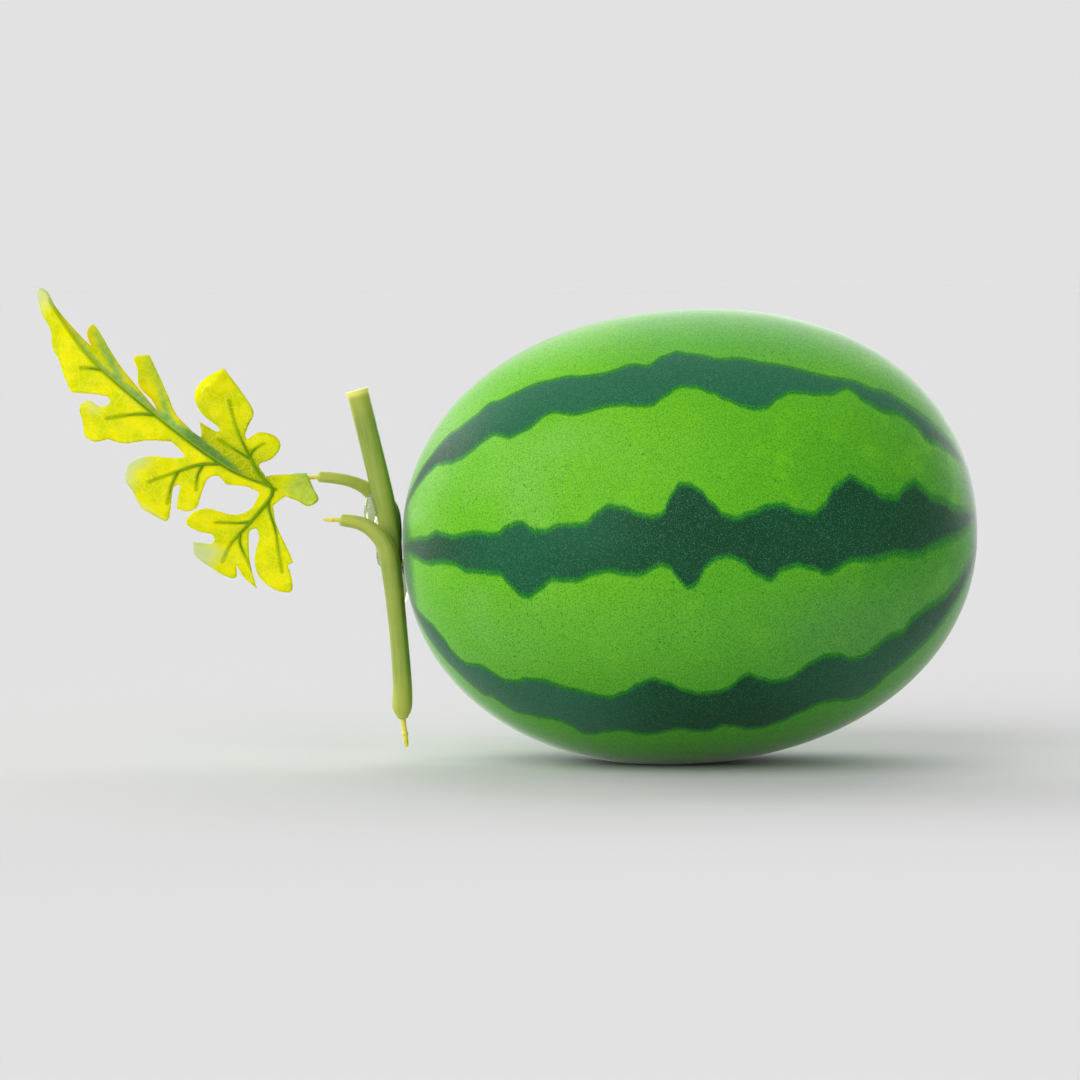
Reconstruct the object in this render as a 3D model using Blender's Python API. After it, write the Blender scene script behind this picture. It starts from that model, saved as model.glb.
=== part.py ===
"""Display watermelon: a moulded fruit lying on a small flat spot, with a push-together vine at its
stem end and one cloth leaf. Metres, +Z up. The origin is the middle of the flat resting spot,
the stem end points to -X and the face with the ribbed side of the leaf looks to -Y.
"""
import math

import bmesh
import bpy
from mathutils import Matrix, Vector
from mathutils.geometry import delaunay_2d_cdt

MM = 0.001
GAP = 0.35 * MM                  # air left between neighbouring pieces

# Fruit: a solid of revolution about its own long axis, a little fuller than an ellipsoid
FRUIT_LENGTH = 249.6 * MM
FRUIT_DIAMETER = 197.3 * MM
FRUIT_LENGTH_POWER = 2.13
FRUIT_GIRTH_POWER = 2.16
FRUIT_BLOSSOM_TAPER = 0.0094     # how much slimmer the blossom half is than the stem half
FRUIT_TILT = math.radians(5.15)  # the blossom end is raised by this
FRUIT_CENTRE = Vector((11.1, 0.0, 98.0)) * MM
FRUIT_SIDES = 48
FRUIT_RINGS = 28

# Pin that joins the main stem to the fruit, along the fruit's axis
PIN_RADIUS = 1.5 * MM
PIN_IN_FRUIT = 15.0 * MM
PIN_IN_STEM = 4.2 * MM

# Vine pieces as (x, y, z, radius) stations in millimetres, from one end to the other
MAIN_STEM = [(-133.2, 0.0, 161.5, 5.2), (-132.0, 0.0, 156.6, 4.8), (-123.8, 0.0, 122.6, 4.75),
             (-120.3, 0.0, 107.0, 4.6), (-118.6, 0.0, 95.0, 4.6), (-117.9, 0.0, 82.0, 4.4)]
LOWER_STEM = [(-139.4, -8.4, 105.6, 2.7), (-132.2, -8.8, 104.3, 3.0), (-126.5, -9.4, 101.3, 3.4),
              (-121.7, -9.9, 96.0, 3.9), (-119.0, -10.1, 88.5, 4.5), (-117.1, -9.6, 74.8, 4.2),
              (-115.1, -8.6, 54.8, 4.0), (-113.7, -7.6, 35.7, 4.2), (-113.7, -7.1, 26.2, 4.45),
              (-113.6, -7.0, 22.8, 3.9), (-113.5, -7.0, 20.3, 2.6)]
UPPER_ARM = [(-149.6, 3.0, 123.9, 2.4), (-143.1, 3.4, 123.3, 2.5), (-136.5, 4.6, 121.9, 2.6),
             (-130.8, 7.0, 119.3, 3.0), (-125.8, 9.2, 115.2, 3.7), (-120.4, 9.9, 109.6, 4.6),
             (-118.6, 9.7, 100.0, 4.4), (-118.4, 9.3, 88.0, 3.6)]
STEM_SIDES = 16
STEM_RINGS_PER_SPAN = 3
CUT_DOME = 0.25                  # height over radius of the rounding at the main stem's ends
ROUND_DOME = 0.6                 # and at the moulded ends of the others
DOME_ANGLES = (math.radians(40), math.radians(72))
SHARP_EDGE = math.radians(40)

# Pegs at the free ends of the vine pieces: shank radius, length outside the piece, length inside,
# and the way each one points
THICK_PEG = (1.15 * MM, 13.8 * MM, 6.0 * MM, (0.13, 0.03, -1.0))
THIN_PEG = (0.95 * MM, 8.4 * MM, 5.0 * MM, (-1.0, 0.05, 0.03))
LEAF_PEG = (0.95 * MM, 12.0 * MM, 5.0 * MM, (-1.0, -0.06, -0.08))
PEG_SIDES = 12
BARB = 1.3                       # how much wider than its shank a peg is at its barb

# Leaf: laid out flat as s along the midrib from its base and c across it, in millimetres.
# Each stroke is a smooth curve through its points and ends in a sharp corner.
LEAF_EDGE = [
    # basal lobe of the near half
    [(-5, 0), (-3.5, -6.5)],
    [(-3.5, -6.5), (-9.5, -12), (-20.5, -17), (-26, -20)],
    [(-26, -20), (-25, -22.5)],
    [(-25, -22.5), (-30.5, -26.5), (-33.5, -31), (-27.5, -35), (-18.5, -35), (-12, -30), (-8, -22)],
    [(-8, -22), (-5, -19.5), (-3, -21), (-4, -24.5), (-11.5, -33), (-21, -40)],
    [(-21, -40), (-13.5, -40), (-7.5, -38)],
    [(-7.5, -38), (-11, -43), (-5, -46), (4, -45.7), (9.8, -43), (13, -38)],
    [(13, -38), (6.5, -35.5), (8.5, -31.3), (14.3, -32), (20.7, -31), (21.2, -25), (16.8, -20.2),
     (7, -18.7), (3, -13), (4.5, -4.5)],
    # wing along the midrib and the second lobe
    [(4.5, -4.5), (11, -4), (18, -6.5)],
    [(18, -6.5), (23, -5), (25.5, -8.5), (23.5, -16), (21.5, -22), (23.5, -26), (28, -27.5)],
    [(28, -27.5), (30.5, -23), (33, -18), (34.5, -21), (29.5, -30), (28, -35), (34.5, -36.3)],
    [(34.5, -36.3), (40, -36.7), (47, -33.2), (53, -30.8), (56, -24), (52, -16.5), (43, -10), (39.5, -6.5),
     (43, -5), (48, -4.5)],
    # third lobe
    [(48, -4.5), (56, -10.5), (63, -18), (70, -21.5)],
    [(70, -21.5), (73.5, -26), (78.5, -27), (83, -23), (88, -19), (87, -14), (81.5, -12.5), (79, -9),
     (81.5, -7), (88, -11), (95, -16.5)],
    # terminal lobe, round its tip
    [(95, -16.5), (101, -14.5), (108, -11.5)],
    [(108, -11.5), (114, -10.5), (119, -7), (128, -6), (134.5, -1.5), (131, 1.2), (124, 0.8), (112, 2),
     (101, 3.5)],
    # far half, folded back: two slender lobes and the broad basal one
    [(101, 3.5), (106.5, 5.5), (107, 9.4), (99, 9), (86, 6.2), (72, 3.9), (60.5, 1.9)],
    [(60.5, 1.9), (66, 4.1), (74, 5), (79.5, 9.5), (84.5, 12.5), (80.5, 17)],
    [(80.5, 17), (70, 12.8), (62, 9.3), (54, 6), (43.5, 4.4)],
    [(43.5, 4.4), (39.5, 5), (44, 9.5)],
    [(44, 9.5), (36, 10.5), (36.5, 12.5), (46, 13), (54, 17.5), (55, 25), (51.5, 33.5)],
    [(51.5, 33.5), (40, 30.5), (29.5, 26.5), (27, 20), (25.5, 16)],
    [(25.5, 16), (23.5, 15.5), (21.5, 20.5), (15.5, 22), (10.5, 18.5), (10, 12), (12.5, 7.5), (7, 3.5)],
    # small flap that wraps the socket behind the base
    [(7, 3.5), (4, 6), (-7, 13)],
    [(-7, 13), (-12.5, 10.5), (-17, 8.5), (-15.5, 3.5), (-10, 1.8), (-5, 0)],
]
MIDRIB_BOW = [(-40, 0), (-20, 0), (0, 0), (20, -6), (45, -8.2), (75, -8.8), (97, -8), (115, -4), (135, 2)]
LEAF_BASE = Vector((-168.6, -2.0, 118.5)) * MM
LEAF_RISE = math.radians(40.1)   # the midrib climbs away from the stem at this angle
BLADE_THICKNESS = 0.7 * MM
BLADE_GRID = 5.0                 # spacing of the points that let the blade bend, millimetres
EDGE_STEPS = 3                   # straight pieces in each span of an outline stroke

# How the blade leaves the plane of its midrib (slopes are depth over width)
NEAR_SLOPE = 0.30
FAR_SLOPES = [(-20, 0.0), (0, 0.0), (14, 0.3), (50, 0.45), (62, 1.6), (135, 1.6)]
FOLD_SOFTNESS = 1.5
MIDRIB_ARCH = 7.0
LOBE_CURL = 0.006

# Moulded ribs as (s, c) routes with the radius at each end
RIBS = [
    ([(0, 0), (30, 0), (60, 0), (95, 0), (128, 0)], 1.0, 0.5),
    ([(1.5, 0), (-0.5, -5), (-0.5, -20), (0, -31), (-2, -41)], 0.9, 0.5),
    ([(-0.5, -5.5), (-4, -9.5), (-12, -15), (-25, -26.5)], 0.7, 0.4),
    ([(0, -25), (-4, -30), (-14.5, -35)], 0.6, 0.4),
    ([(-0.5, -18), (3.5, -21.5), (11, -25)], 0.6, 0.4),
    ([(26, 0), (32.5, -5.6), (38, -14), (44.5, -25)], 0.8, 0.4),
    ([(31, -3.5), (30, -9.5), (26.5, -15.5)], 0.6, 0.4),
    ([(37.5, -13), (36, -20), (32.5, -28)], 0.6, 0.4),
    ([(61, 0), (67, -4.5), (76, -14.5)], 0.7, 0.4),
    ([(91, 0), (94, -2), (98.5, -6)], 0.6, 0.4),
    ([(2, 0), (9, 3), (20, 10.4), (31, 17), (40.5, 24)], 0.8, 0.4),
    ([(18, 9.2), (18.5, 12), (17, 17)], 0.6, 0.4),
    ([(16, 8), (22, 8.6), (33, 8.4)], 0.6, 0.4),
]
RIB_SIDES = 6

# Sleeve behind the flap that the leaf peg pushes into, from its mouth to its closed end
SOCKET = [(-155.4, 2.6, 123.5, 2.2), (-161.5, 2.3, 123.0, 2.2), (-166.8, 2.2, 119.8, 2.1),
          (-171.5, 2.6, 115.5, 1.6)]

# Beads of clear glue as (x, y, z) centres and (x, y, z) half sizes, millimetres
GLUE_BEADS = [
    ("glue_bead_upper", (-127.6, 1.2, 109.0), (2.9, 3.6, 7.5)),
    ("glue_bead_lower", (-122.6, -4.9, 91.0), (2.4, 4.0, 6.4)),
    ("glue_bead_fruit", (-113.9, -4.9, 77.0), (3.0, 3.4, 9.5)),
]


def clear_scene():
    for obj in list(bpy.data.objects):
        bpy.data.objects.remove(obj)


def material(name, colour, roughness, alpha=1.0):
    mat = bpy.data.materials.new(name)
    mat.use_nodes = True
    shader = mat.node_tree.nodes["Principled BSDF"]
    shader.inputs["Base Color"].default_value = (*colour, 1.0)
    shader.inputs["Roughness"].default_value = roughness
    shader.inputs["Metallic"].default_value = 0.0
    shader.inputs["Alpha"].default_value = alpha
    mat.diffuse_color = (*colour, alpha)
    return mat


def add_object(name, bm, mat):
    """Turn a finished bmesh into a named, smooth-shaded object."""
    bmesh.ops.recalc_face_normals(bm, faces=bm.faces)
    mesh = bpy.data.meshes.new(name)
    bm.to_mesh(mesh)
    bm.free()
    mesh.materials.append(mat)
    mesh.shade_smooth()
    mesh.set_sharp_from_angle(angle=SHARP_EDGE)
    obj = bpy.data.objects.new(name, mesh)
    bpy.context.scene.collection.objects.link(obj)
    return obj


def boolean(obj, other, operation):
    """Cut or join with another object, which stays in the file as a wire guide."""
    other.hide_render = True
    other.display_type = "WIRE"
    mod = obj.modifiers.new(operation.title(), "BOOLEAN")
    mod.operation = operation
    mod.solver = "EXACT"
    mod.object = other


def smooth_path(points, steps):
    """Catmull-Rom curve through the points, with the given number of steps in each span."""
    points = [Vector(p) for p in points]
    before = 2 * points[0] - points[1]
    after = 2 * points[-1] - points[-2]
    padded = [before, *points, after]
    path = []
    for a, b, c, d in zip(padded, padded[1:], padded[2:], padded[3:]):
        for k in range(steps):
            t = k / steps
            path.append(0.5 * (2 * b + (c - a) * t + (2 * a - 5 * b + 4 * c - d) * t ** 2
                               + (3 * b - a - 3 * c + d) * t ** 3))
    path.append(points[-1])
    return path


def sweep(stations, sides, dome=0.0):
    """Round tube through (x, y, z, radius) stations in metres; dome rounds both ends off."""
    centres = [Vector(s[:3]) for s in stations]
    radii = [s[3] for s in stations]
    tangents = []
    for i in range(len(centres)):
        tangents.append((centres[min(i + 1, len(centres) - 1)] - centres[max(i - 1, 0)]).normalized())
    if dome:
        for index, sign in ((0, -1), (-1, 1)):
            centre, radius, tangent = centres[index], radii[index], tangents[index]
            extra = [(centre + tangent * sign * dome * radius * math.sin(angle), radius * math.cos(angle))
                     for angle in DOME_ANGLES]
            if sign < 0:
                centres[:0] = [p for p, _ in reversed(extra)]
                radii[:0] = [r for _, r in reversed(extra)]
                tangents[:0] = [tangent, tangent]
            else:
                centres += [p for p, _ in extra]
                radii += [r for _, r in extra]
                tangents += [tangent, tangent]
    bm = bmesh.new()
    side = tangents[0].cross(Vector((0, 1, 0.1))).normalized()
    rings = []
    for centre, radius, tangent in zip(centres, radii, tangents):
        side = (side - tangent * side.dot(tangent)).normalized()
        other = tangent.cross(side)
        ring = []
        for k in range(sides):
            turn = 2 * math.pi * k / sides
            ring.append(bm.verts.new(centre + radius * (side * math.cos(turn) + other * math.sin(turn))))
        rings.append(ring)
    for lower, upper in zip(rings, rings[1:]):
        for k in range(sides):
            bm.faces.new((lower[k], lower[(k + 1) % sides], upper[(k + 1) % sides], upper[k]))
    bm.faces.new(rings[0])
    bm.faces.new(rings[-1])
    return bm


def in_metres(stations, grow=0.0):
    return [tuple(MM * v for v in s[:3]) + (MM * s[3] + grow,) for s in stations]


def fruit_frame():
    """Places the fruit's own frame, whose +X is its axis towards the blossom end."""
    return Matrix.Translation(FRUIT_CENTRE) @ Matrix.Rotation(-FRUIT_TILT, 4, "Y")


def fruit_body(grow=0.0):
    """The turned and tilted fruit, every side of it moved outwards by grow."""
    bm = bmesh.new()
    profile = []
    for i in range(FRUIT_RINGS + 1):
        turn = math.pi * i / FRUIT_RINGS
        along = math.copysign(abs(math.cos(turn)) ** (2 / FRUIT_LENGTH_POWER), math.cos(turn))
        girth = abs(math.sin(turn)) ** (2 / FRUIT_GIRTH_POWER) * (1 - FRUIT_BLOSSOM_TAPER * along)
        if i in (0, FRUIT_RINGS):
            girth = 0.0
        half_length = FRUIT_LENGTH / 2 + grow
        profile.append(bm.verts.new((half_length * along, 0.0, (FRUIT_DIAMETER / 2 + grow) * girth)))
    edges = [bm.edges.new(pair) for pair in zip(profile, profile[1:])]
    bmesh.ops.spin(bm, geom=profile + edges, cent=(0, 0, 0), axis=(1, 0, 0), angle=2 * math.pi,
                   steps=FRUIT_SIDES, use_merge=True)
    bmesh.ops.remove_doubles(bm, verts=bm.verts, dist=0.01 * MM)
    bmesh.ops.transform(bm, matrix=fruit_frame(), verts=bm.verts)
    return bm


def build_fruit(mat):
    """The fruit with its flat resting spot: what lies under the ground plane is sliced off."""
    bm = fruit_body()
    cut = bmesh.ops.bisect_plane(bm, geom=bm.verts[:] + bm.edges[:] + bm.faces[:], dist=0.001 * MM,
                                 plane_co=(0, 0, 0), plane_no=(0, 0, 1), clear_inner=True)
    rim = [e for e in cut["geom_cut"] if isinstance(e, bmesh.types.BMEdge)]
    bmesh.ops.holes_fill(bm, edges=rim, sides=len(rim))
    return add_object("fruit", bm, mat)


def stem_end_of_fruit():
    """The pole that the pin goes through, and the direction into the fruit."""
    frame = fruit_frame()
    pole = frame @ Vector((-FRUIT_LENGTH / 2, 0, 0))
    inward = (frame.to_3x3() @ Vector((1, 0, 0))).normalized()
    return pole, inward


def straight(start, end, radius):
    return [(*start, radius), (*end, radius)]


def build_fruit_pin(mat, fruit, main_stem):
    pole, inward = stem_end_of_fruit()
    head = pole - inward * PIN_IN_STEM
    tip = pole + inward * PIN_IN_FRUIT
    shoulder = tip - inward * PIN_RADIUS
    stations = straight(head, shoulder, PIN_RADIUS) + [(*tip, PIN_RADIUS / 3)]
    pin = add_object("fruit_pin", sweep(stations, PEG_SIDES), mat)
    hole = straight(head - inward * GAP, tip + inward * GAP, PIN_RADIUS + GAP)
    cutter = add_object("pin_hole_cutter", sweep(hole, PEG_SIDES), mat)
    boolean(fruit, cutter, "DIFFERENCE")
    boolean(main_stem, cutter, "DIFFERENCE")
    return pin


def build_stem(name, stations, mat, dome):
    path = [tuple(p) for p in smooth_path(in_metres(stations), STEM_RINGS_PER_SPAN)]
    return add_object(name, sweep(path, STEM_SIDES, dome), mat)


def build_peg(name, end, size, mat, holder, sleeve=None):
    """Barbed peg pushed into the end of a vine piece, and into the sleeve it carries if there is one."""
    radius, outside, inside, aim = size
    end = Vector(end[:3]) * MM
    outward = Vector(aim).normalized()
    shape = [(-inside, 1.0), (0.52 * outside, 1.0), (0.56 * outside, BARB), (0.62 * outside, 1.0),
             (0.86 * outside, 0.95), (outside, 0.35)]
    stations = [(*(end + outward * along), radius * grow) for along, grow in shape]
    peg = add_object(name, sweep(stations, PEG_SIDES), mat)
    root = end - outward * (inside + GAP)
    tip = end + outward * (outside + GAP)
    for number, (piece, reach) in enumerate([(holder, radius + GAP), (sleeve, radius * BARB + GAP)]):
        if piece:
            cutter = add_object(f"{name}_hole_{number}", sweep(straight(root, tip, reach), PEG_SIDES), mat)
            boolean(piece, cutter, "DIFFERENCE")
    return peg


def leaf_edge_loop():
    """The blade's flat outline as one closed ring of (s, c) points, millimetres."""
    loop = []
    for stroke in LEAF_EDGE:
        loop += smooth_path(stroke, EDGE_STEPS)[:-1]
    return loop


def interpolate(table, x, eased=False):
    """Value at x from (x, value) pairs, held level beyond both ends of the table."""
    x = min(max(x, table[0][0]), table[-1][0])
    for (x0, v0), (x1, v1) in zip(table, table[1:]):
        if x <= x1:
            t = (x - x0) / (x1 - x0)
            if eased:
                t = t * t * (3 - 2 * t)
            return v0 + (v1 - v0) * t


def smooth_bow():
    return [tuple(p) for p in smooth_path(MIDRIB_BOW, 4)]


def leaf_depth(s, c):
    """How far the blade's middle lies behind the plane of its midrib, millimetres."""
    slope = NEAR_SLOPE if c < 0 else interpolate(FAR_SLOPES, s, eased=True)
    width = math.hypot(c, FOLD_SOFTNESS) - FOLD_SOFTNESS
    arch = -MIDRIB_ARCH * math.sin(math.pi * min(max(s / 130, 0.0), 1.0))
    return arch + slope * width + LOBE_CURL * c * c


def leaf_point(s, c, bow):
    """Place of the blade's middle surface for flat coordinates s and c, metres."""
    across = c + interpolate(bow, s)
    x = -s * math.cos(LEAF_RISE) + across * math.sin(LEAF_RISE)
    z = s * math.sin(LEAF_RISE) + across * math.cos(LEAF_RISE)
    return LEAF_BASE + Vector((x, leaf_depth(s, c), z)) * MM


def leaf_normal(s, c, bow):
    """Direction out of the ribbed face, the one that looks to -Y."""
    step = 0.5
    along = leaf_point(s + step, c, bow) - leaf_point(s - step, c, bow)
    across = leaf_point(s, c + step, bow) - leaf_point(s, c - step, bow)
    normal = along.cross(across).normalized()
    return normal if normal.y < 0 else -normal


def build_leaf_blade(mat):
    loop = leaf_edge_loop()
    count = len(loop)
    points = [p.copy() for p in loop]
    edges = [(i, (i + 1) % count) for i in range(count)]
    s_values = [p.x for p in loop]
    c_values = [p.y for p in loop]
    s = min(s_values)
    while s < max(s_values):
        c = -BLADE_GRID * math.ceil(-min(c_values) / BLADE_GRID)
        while c < max(c_values):
            near = min((Vector((s, c)) - p).length for p in loop)
            if near > 0.45 * BLADE_GRID:
                points.append(Vector((s, c)))
            c += BLADE_GRID
        s += BLADE_GRID
    flat, _, faces, _, _, _ = delaunay_2d_cdt(points, edges, [list(range(count))], 1, 0.001)
    bow = smooth_bow()
    bm = bmesh.new()
    verts = [bm.verts.new(leaf_point(p.x, p.y, bow)) for p in flat]
    for face in faces:
        bm.faces.new([verts[i] for i in face])
    loose = [v for v in bm.verts if not v.link_faces]
    bmesh.ops.delete(bm, geom=loose, context="VERTS")
    blade = add_object("leaf_blade", bm, mat)
    thick = blade.modifiers.new("Thickness", "SOLIDIFY")
    thick.thickness = BLADE_THICKNESS
    thick.offset = 0.0
    thick.use_even_offset = True
    return blade


def build_leaf_ribs(mat):
    bow = smooth_bow()
    parts = []
    for number, (route, start_radius, end_radius) in enumerate(RIBS):
        path = smooth_path(route, 4)
        stations = []
        for i, p in enumerate(path):
            radius = (start_radius + (end_radius - start_radius) * i / (len(path) - 1)) * MM
            lift = BLADE_THICKNESS / 2 + GAP + radius
            centre = leaf_point(p.x, p.y, bow) + leaf_normal(p.x, p.y, bow) * lift
            stations.append((*centre, radius))
        name = "leaf_ribs" if number == 0 else f"rib_branch_{number}"
        parts.append(add_object(name, sweep(stations, RIB_SIDES), mat))
    for branch in parts[1:]:
        boolean(parts[0], branch, "UNION")
    return parts[0]


def build_leaf_socket(mat):
    path = [tuple(p) for p in smooth_path(in_metres(SOCKET), 2)]
    return add_object("leaf_socket", sweep(path, PEG_SIDES), mat)


def build_glue(name, centre, half, mat, neighbours):
    """Bead of set glue, hollowed where it hugs the pieces around it."""
    bm = bmesh.new()
    bmesh.ops.create_icosphere(bm, subdivisions=3, radius=1.0)
    scale = Matrix.Diagonal((*(Vector(half) * MM), 1.0))
    bmesh.ops.transform(bm, matrix=Matrix.Translation(Vector(centre) * MM) @ scale, verts=bm.verts)
    bead = add_object(name, bm, mat)
    for neighbour in neighbours:
        boolean(bead, neighbour, "DIFFERENCE")
    return bead


def build_clearances(mat):
    """Wire copies of the stems and the fruit's end, grown by the gap, that shape the glue."""
    grown = []
    for name, stations in (("main", MAIN_STEM), ("lower", LOWER_STEM), ("upper", UPPER_ARM)):
        path = [tuple(p) for p in smooth_path(in_metres(stations, GAP), STEM_RINGS_PER_SPAN)]
        grown.append(add_object(f"{name}_clearance", sweep(path, STEM_SIDES, ROUND_DOME), mat))
    grown.append(add_object("fruit_clearance", fruit_body(GAP), mat))
    return grown


def main():
    clear_scene()
    skin = material("fruit_skin", (0.10, 0.42, 0.04), 0.5)
    stem_green = material("stem_green", (0.26, 0.36, 0.06), 0.5)
    peg_yellow = material("peg_yellow", (0.72, 0.66, 0.05), 0.45)
    leaf_cloth = material("leaf_cloth", (0.62, 0.72, 0.02), 0.8)
    rib_green = material("leaf_rib", (0.10, 0.22, 0.04), 0.55)
    glue_clear = material("glue_clear", (0.80, 0.84, 0.70), 0.15, alpha=0.5)

    fruit = build_fruit(skin)
    main_stem = build_stem("main_stem", MAIN_STEM, stem_green, CUT_DOME)
    lower_stem = build_stem("lower_stem", LOWER_STEM, stem_green, ROUND_DOME)
    upper_arm = build_stem("upper_arm", UPPER_ARM, stem_green, ROUND_DOME)
    build_fruit_pin(peg_yellow, fruit, main_stem)
    socket = build_leaf_socket(rib_green)
    build_peg("lower_stem_peg", LOWER_STEM[-1], THICK_PEG, peg_yellow, lower_stem)
    build_peg("lower_arm_peg", LOWER_STEM[0], THIN_PEG, peg_yellow, lower_stem)
    build_peg("upper_arm_peg", UPPER_ARM[0], LEAF_PEG, peg_yellow, upper_arm, sleeve=socket)
    build_leaf_blade(leaf_cloth)
    build_leaf_ribs(rib_green)
    clearances = build_clearances(glue_clear)
    for name, centre, half in GLUE_BEADS:
        build_glue(name, centre, half, glue_clear, clearances)


main()
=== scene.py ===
"""Looks of the display watermelon: skin, vine, clear glue and cloth leaf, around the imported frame."""
import math

import bmesh
import bpy
import numpy as np
from mathutils import Matrix, Vector
from mathutils.geometry import delaunay_2d_cdt


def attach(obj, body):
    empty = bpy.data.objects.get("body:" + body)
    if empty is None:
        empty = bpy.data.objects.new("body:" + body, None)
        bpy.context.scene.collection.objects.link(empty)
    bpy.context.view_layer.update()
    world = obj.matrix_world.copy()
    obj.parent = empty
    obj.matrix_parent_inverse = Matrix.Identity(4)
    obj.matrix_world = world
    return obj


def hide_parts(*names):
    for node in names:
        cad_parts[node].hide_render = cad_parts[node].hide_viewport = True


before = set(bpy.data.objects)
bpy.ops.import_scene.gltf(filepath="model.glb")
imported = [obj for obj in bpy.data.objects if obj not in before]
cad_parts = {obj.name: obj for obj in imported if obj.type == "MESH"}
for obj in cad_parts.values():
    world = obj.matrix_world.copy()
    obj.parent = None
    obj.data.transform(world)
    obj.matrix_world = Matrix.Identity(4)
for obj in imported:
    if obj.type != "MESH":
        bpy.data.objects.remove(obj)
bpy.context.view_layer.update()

MM = 0.001
SEED = 7

# ------------------------------------------------------------------ sizes, in the frame's own space
FRUIT_LENGTH = 249.6 * MM
FRUIT_DIAMETER = 197.3 * MM
FRUIT_LENGTH_POWER = 2.13
FRUIT_GIRTH_POWER = 2.16
FRUIT_BLOSSOM_TAPER = 0.0094
FRUIT_TILT = math.radians(5.15)
FRUIT_CENTRE = Vector((11.1, 0.0, 98.0)) * MM
FRUIT_RINGS = 200
FRUIT_SIDES = 288
FLAT_BLEND = 0.5 * MM  # height over which the flat spot's rim is rounded
# painted shade: the skin darkens from this height down to the floor
UNDER_SHADE_HEIGHT = 62 * MM  # the skin turns plain green from here down

# Vine pieces as (x, y, z, radius) stations in millimetres
MAIN_STEM = [(-133.2, 0.0, 161.5, 5.2), (-132.0, 0.0, 156.6, 4.8), (-123.8, 0.0, 122.6, 4.75),
             (-120.3, 0.0, 107.0, 4.6), (-118.6, 0.0, 95.0, 4.6), (-117.9, 0.0, 82.0, 4.4)]
LOWER_STEM = [(-139.4, -8.4, 105.6, 2.7), (-132.2, -8.8, 104.3, 3.0), (-126.5, -9.4, 101.3, 3.4),
              (-121.7, -9.9, 96.0, 3.9), (-119.0, -10.1, 88.5, 4.5), (-117.1, -9.6, 74.8, 4.2),
              (-115.1, -8.6, 54.8, 4.0), (-113.7, -7.6, 35.7, 4.2), (-113.7, -7.1, 26.2, 4.45),
              (-113.6, -7.0, 22.8, 3.9), (-113.5, -7.0, 20.3, 2.6)]
UPPER_ARM = [(-149.6, 3.0, 123.9, 2.4), (-143.1, 3.4, 123.3, 2.5), (-136.5, 4.6, 121.9, 2.6),
             (-130.8, 7.0, 119.3, 3.0), (-125.8, 9.2, 115.2, 3.7), (-120.4, 9.9, 109.6, 4.6),
             (-118.6, 9.7, 100.0, 4.4), (-118.4, 9.3, 88.0, 3.6)]
THICK_PEG = (1.15, 13.8, (0.13, 0.03, -1.0))  # shank radius, length outside, direction
THIN_PEG = (0.95, 8.4, (-1.0, 0.05, 0.03))
LEAF_PEG = (0.95, 12.0, (-1.0, -0.06, -0.08))
PEG_ROOT = 4.5  # length of a peg inside its vine piece
PEG_SHAPE = [  # share of the length outside, share of the shank radius
    (0.0, 1.0), (0.10, 0.98), (0.48, 1.0), (0.53, 1.28), (0.57, 1.22), (0.63, 0.95), (0.82, 0.92),
    (0.94, 0.72), (1.0, 0.32)]
SOCKET = [(-155.4, 2.6, 123.5, 2.2), (-161.5, 2.3, 123.0, 2.2), (-166.8, 2.2, 119.8, 2.1),
          (-171.5, 2.6, 115.5, 1.6)]

# Ends of a swept piece: rings up a domed end; a saw-cut end's rim as (steps out, millimetres in), and
# its inner rings as shares of the radius
DOME_ANGLES = [math.radians(a) for a in (20, 40, 58, 74, 86)]
CUT_STEP = 0.25
CUT_RIM = [(0.5, 0.06), (1.0, 0.25), (1.15, 0.6)]
CUT_HEIGHT = 0.29
CUT_RINGS = [0.7, 0.35]
CUT_ZONE = 0.30  # centimetres from the cut end to where its pale zone ends
CUT_FADE = 0.18  # and over which the zone fades out
FRESH_SHARE = 0.6  # how pale an arm's fresh end gets
STEM_RIDGES = 0.006  # mould lines, share of the radius
RIDGE_RADIUS = 1.5 * MM  # they fade where a piece is slimmer than this
GLUE_VOXEL = 0.35 * MM

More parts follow.
